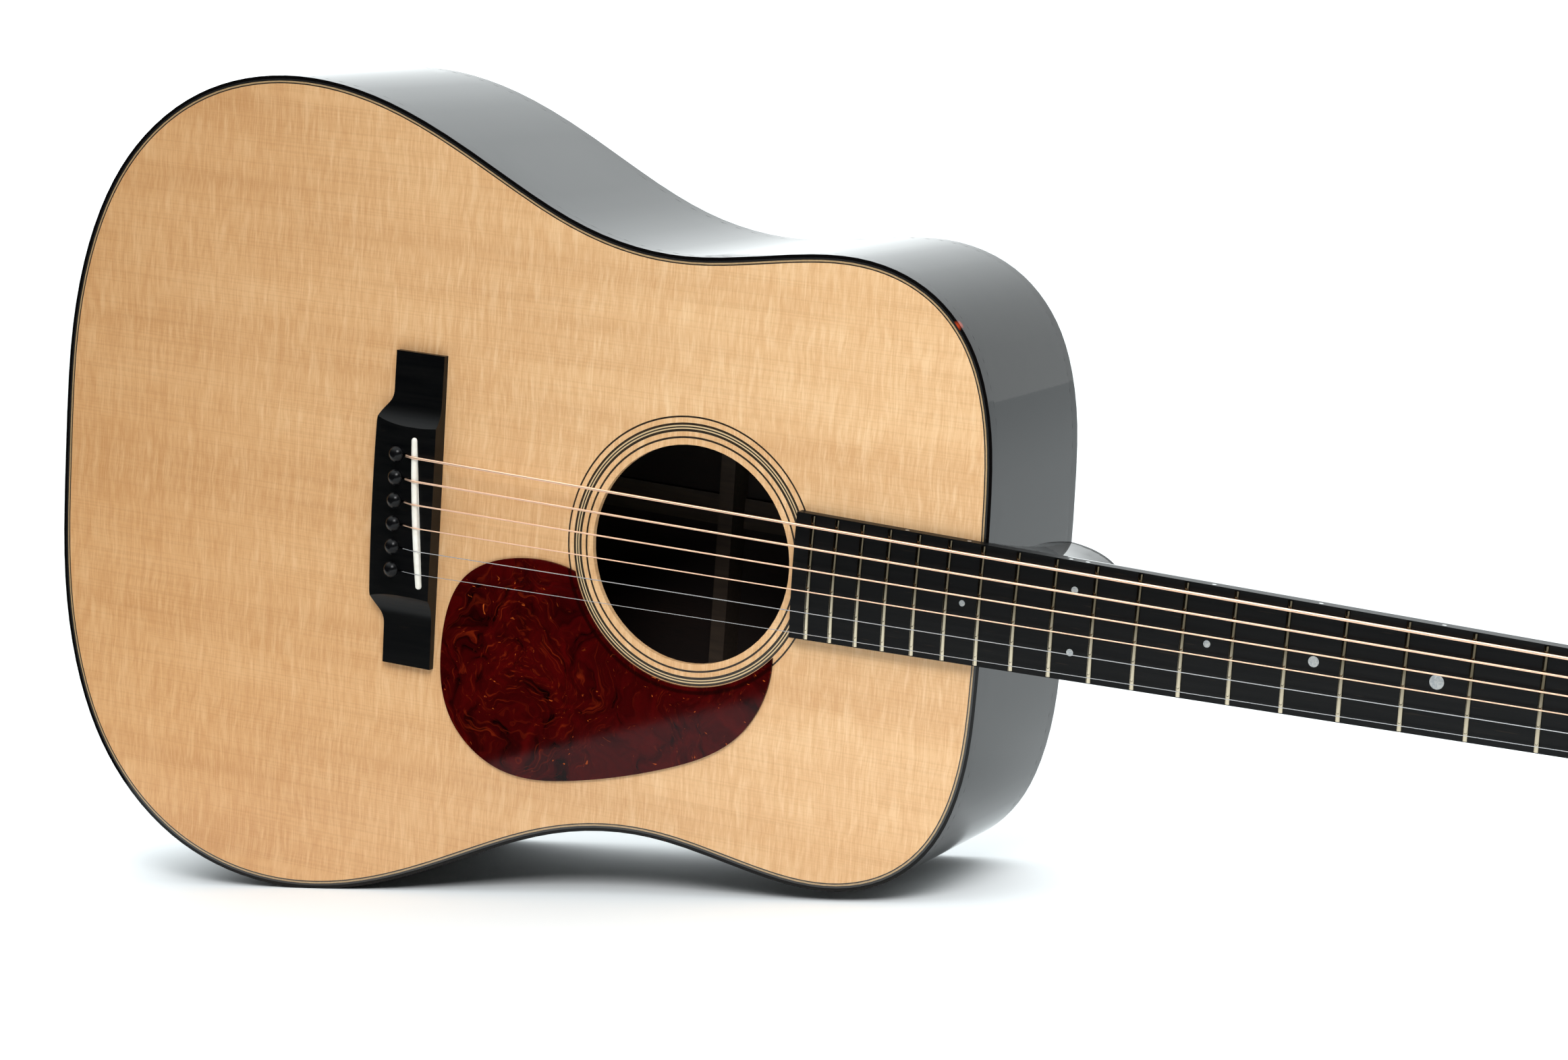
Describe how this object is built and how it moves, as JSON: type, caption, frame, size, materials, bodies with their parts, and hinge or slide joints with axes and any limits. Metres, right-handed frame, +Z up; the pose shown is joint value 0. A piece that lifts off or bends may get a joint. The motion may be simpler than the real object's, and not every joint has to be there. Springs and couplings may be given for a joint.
{
  "type": "acoustic guitar",
  "caption": "Flat-top steel-string guitar with a waisted hollow body, round soundhole, fretted neck, pinned bridge and geared tuners.",
  "frame": {"origin": "centre of the overall box at the level it rests on", "axes": "standing on its treble side: +X towards the head, +Y towards the back, +Z up"},
  "size_m": [1.021, 0.1386, 0.3979],
  "materials": {
    "spruce_top": "satin, fine straight grain with cross silk",
    "dark_wood": "near-black stained, satin lacquer over fine pores",
    "binding": "gloss",
    "purfling": "light and dark inlaid lines, gloss",
    "inner_mahogany": "unfinished",
    "brace_spruce": "unfinished",
    "tortoise": "polished deep red mottle",
    "ebony": "oiled, satin",
    "bone": "polished bone",
    "black_plastic": "polished",
    "steel": "plain",
    "nickel": "polished nickel",
    "pearl": "polished shell",
    "plain_string": "bright drawn wire",
    "wound_string": "bronze winding"
  },
  "bodies": {
    "guitar": {"soundboard_bass_half": "spruce_top", "soundboard_treble_half": "spruce_top", "back_bass_half": "dark_wood", "back_treble_half": "dark_wood", "side_bass": "dark_wood", "side_treble": "dark_wood", "top_binding": "binding", "back_binding": "binding", "top_purfling": "purfling", "rosette": "purfling", "neck_block": "inner_mahogany", "tail_block": "inner_mahogany", "linings": "inner_mahogany", "x_brace": "brace_spruce", "tone_bars": "brace_spruce", "finger_braces": "brace_spruce", "upper_braces": "brace_spruce", "back_braces": "brace_spruce", "back_centre_strip": "brace_spruce", "bridge_plate": "inner_mahogany", "pickguard": "tortoise", "bridge": "ebony", "saddle": "bone", "end_pin": "black_plastic", "neck": "dark_wood", "heel_cap": "ebony", "head_plate": "ebony", "fingerboard": "ebony", "truss_rod": "steel", "frets": "nickel", "position_dots": "pearl", "nut": "bone", "tuner_base_plates": "nickel", "tuner_screws": "nickel", "tuner_bushings": "nickel", "string_1": "plain_string", "string_2": "plain_string", "string_3": "wound_string", "string_4": "wound_string", "string_5": "wound_string", "string_6": "wound_string"},
    "string_post_1": {"string_post_1": "nickel"},
    "string_post_2": {"string_post_2": "nickel"},
    "string_post_3": {"string_post_3": "nickel"},
    "string_post_4": {"string_post_4": "nickel"},
    "string_post_5": {"string_post_5": "nickel"},
    "string_post_6": {"string_post_6": "nickel"},
    "tuner_button_1": {"tuner_button_1": "nickel"},
    "tuner_button_2": {"tuner_button_2": "nickel"},
    "tuner_button_3": {"tuner_button_3": "nickel"},
    "tuner_button_4": {"tuner_button_4": "nickel"},
    "tuner_button_5": {"tuner_button_5": "nickel"},
    "tuner_button_6": {"tuner_button_6": "nickel"},
    "bridge_pin_1": {"bridge_pin_1": "black_plastic"},
    "bridge_pin_2": {"bridge_pin_2": "black_plastic"},
    "bridge_pin_3": {"bridge_pin_3": "black_plastic"},
    "bridge_pin_4": {"bridge_pin_4": "black_plastic"},
    "bridge_pin_5": {"bridge_pin_5": "black_plastic"},
    "bridge_pin_6": {"bridge_pin_6": "black_plastic"},
    "truss_rod_nut": {"truss_rod_nut": "steel"}
  },
  "joints": [
    {"name": "tuner_button_6_turn", "type": "hinge", "parent": "guitar", "child": "tuner_button_6", "pos_m": [0.3996, -0.02671, 0.09594], "axis": [0.1651, 0, 0.9863], "continuous": true},
    {"name": "string_post_6_turn", "type": "hinge", "parent": "guitar", "child": "string_post_6", "pos_m": [0.39703, -0.0479, 0.09637], "axis": [0.2553, -0.9659, -0.0427], "continuous": true},
    {"name": "tuner_button_5_turn", "type": "hinge", "parent": "guitar", "child": "tuner_button_5", "pos_m": [0.4358, -0.01687, 0.08988], "axis": [0.1651, 0, 0.9863], "continuous": true},
    {"name": "string_post_5_turn", "type": "hinge", "parent": "guitar", "child": "string_post_5", "pos_m": [0.43323, -0.03807, 0.09031], "axis": [0.2553, -0.9659, -0.0427], "continuous": true},
    {"name": "tuner_button_4_turn", "type": "hinge", "parent": "guitar", "child": "tuner_button_4", "pos_m": [0.472, -0.00704, 0.08382], "axis": [0.1651, 0, 0.9863], "continuous": true},
    {"name": "string_post_4_turn", "type": "hinge", "parent": "guitar", "child": "string_post_4", "pos_m": [0.46943, -0.02823, 0.08425], "axis": [0.2553, -0.9659, -0.0427], "continuous": true},
    {"name": "tuner_button_3_turn", "type": "hinge", "parent": "guitar", "child": "tuner_button_3", "pos_m": [0.46374, -0.00704, 0.03451], "axis": [-0.1651, 0, -0.9863], "continuous": true},
    {"name": "string_post_3_turn", "type": "hinge", "parent": "guitar", "child": "string_post_3", "pos_m": [0.46118, -0.02823, 0.03494], "axis": [0.2553, -0.9659, -0.0427], "continuous": true},
    {"name": "tuner_button_2_turn", "type": "hinge", "parent": "guitar", "child": "tuner_button_2", "pos_m": [0.42754, -0.01687, 0.04057], "axis": [-0.1651, 0, -0.9863], "continuous": true},
    {"name": "string_post_2_turn", "type": "hinge", "parent": "guitar", "child": "string_post_2", "pos_m": [0.42497, -0.03807, 0.041], "axis": [0.2553, -0.9659, -0.0427], "continuous": true},
    {"name": "tuner_button_1_turn", "type": "hinge", "parent": "guitar", "child": "tuner_button_1", "pos_m": [0.39134, -0.02671, 0.04663], "axis": [-0.1651, 0, -0.9863], "continuous": true},
    {"name": "string_post_1_turn", "type": "hinge", "parent": "guitar", "child": "string_post_1", "pos_m": [0.38877, -0.0479, 0.04706], "axis": [0.2553, -0.9659, -0.0427], "continuous": true},
    {"name": "bridge_pin_6_pull", "type": "slide", "parent": "guitar", "child": "bridge_pin_6", "axis": [0, -1, 0], "range_m": [0, 0.028]},
    {"name": "bridge_pin_5_pull", "type": "slide", "parent": "guitar", "child": "bridge_pin_5", "axis": [0, -1, 0], "range_m": [0, 0.028]},
    {"name": "bridge_pin_4_pull", "type": "slide", "parent": "guitar", "child": "bridge_pin_4", "axis": [0, -1, 0], "range_m": [0, 0.028]},
    {"name": "bridge_pin_3_pull", "type": "slide", "parent": "guitar", "child": "bridge_pin_3", "axis": [0, -1, 0], "range_m": [0, 0.028]},
    {"name": "bridge_pin_2_pull", "type": "slide", "parent": "guitar", "child": "bridge_pin_2", "axis": [0, -1, 0], "range_m": [0, 0.028]},
    {"name": "bridge_pin_1_pull", "type": "slide", "parent": "guitar", "child": "bridge_pin_1", "axis": [0, -1, 0], "range_m": [0, 0.028]},
    {"name": "truss_rod_nut_turn", "type": "hinge", "parent": "guitar", "child": "truss_rod_nut", "pos_m": [-0.04136, -0.04774, 0.14442], "axis": [0.9863, 0, -0.1651], "range_deg": [-360, 360]}
  ],
  "couplings": [
    {"joint": "string_post_6_turn", "follows": "tuner_button_6_turn", "ratio": -0.071429},
    {"joint": "string_post_5_turn", "follows": "tuner_button_5_turn", "ratio": -0.071429},
    {"joint": "string_post_4_turn", "follows": "tuner_button_4_turn", "ratio": -0.071429},
    {"joint": "string_post_3_turn", "follows": "tuner_button_3_turn", "ratio": 0.071429},
    {"joint": "string_post_2_turn", "follows": "tuner_button_2_turn", "ratio": 0.071429},
    {"joint": "string_post_1_turn", "follows": "tuner_button_1_turn", "ratio": 0.071429}
  ]
}
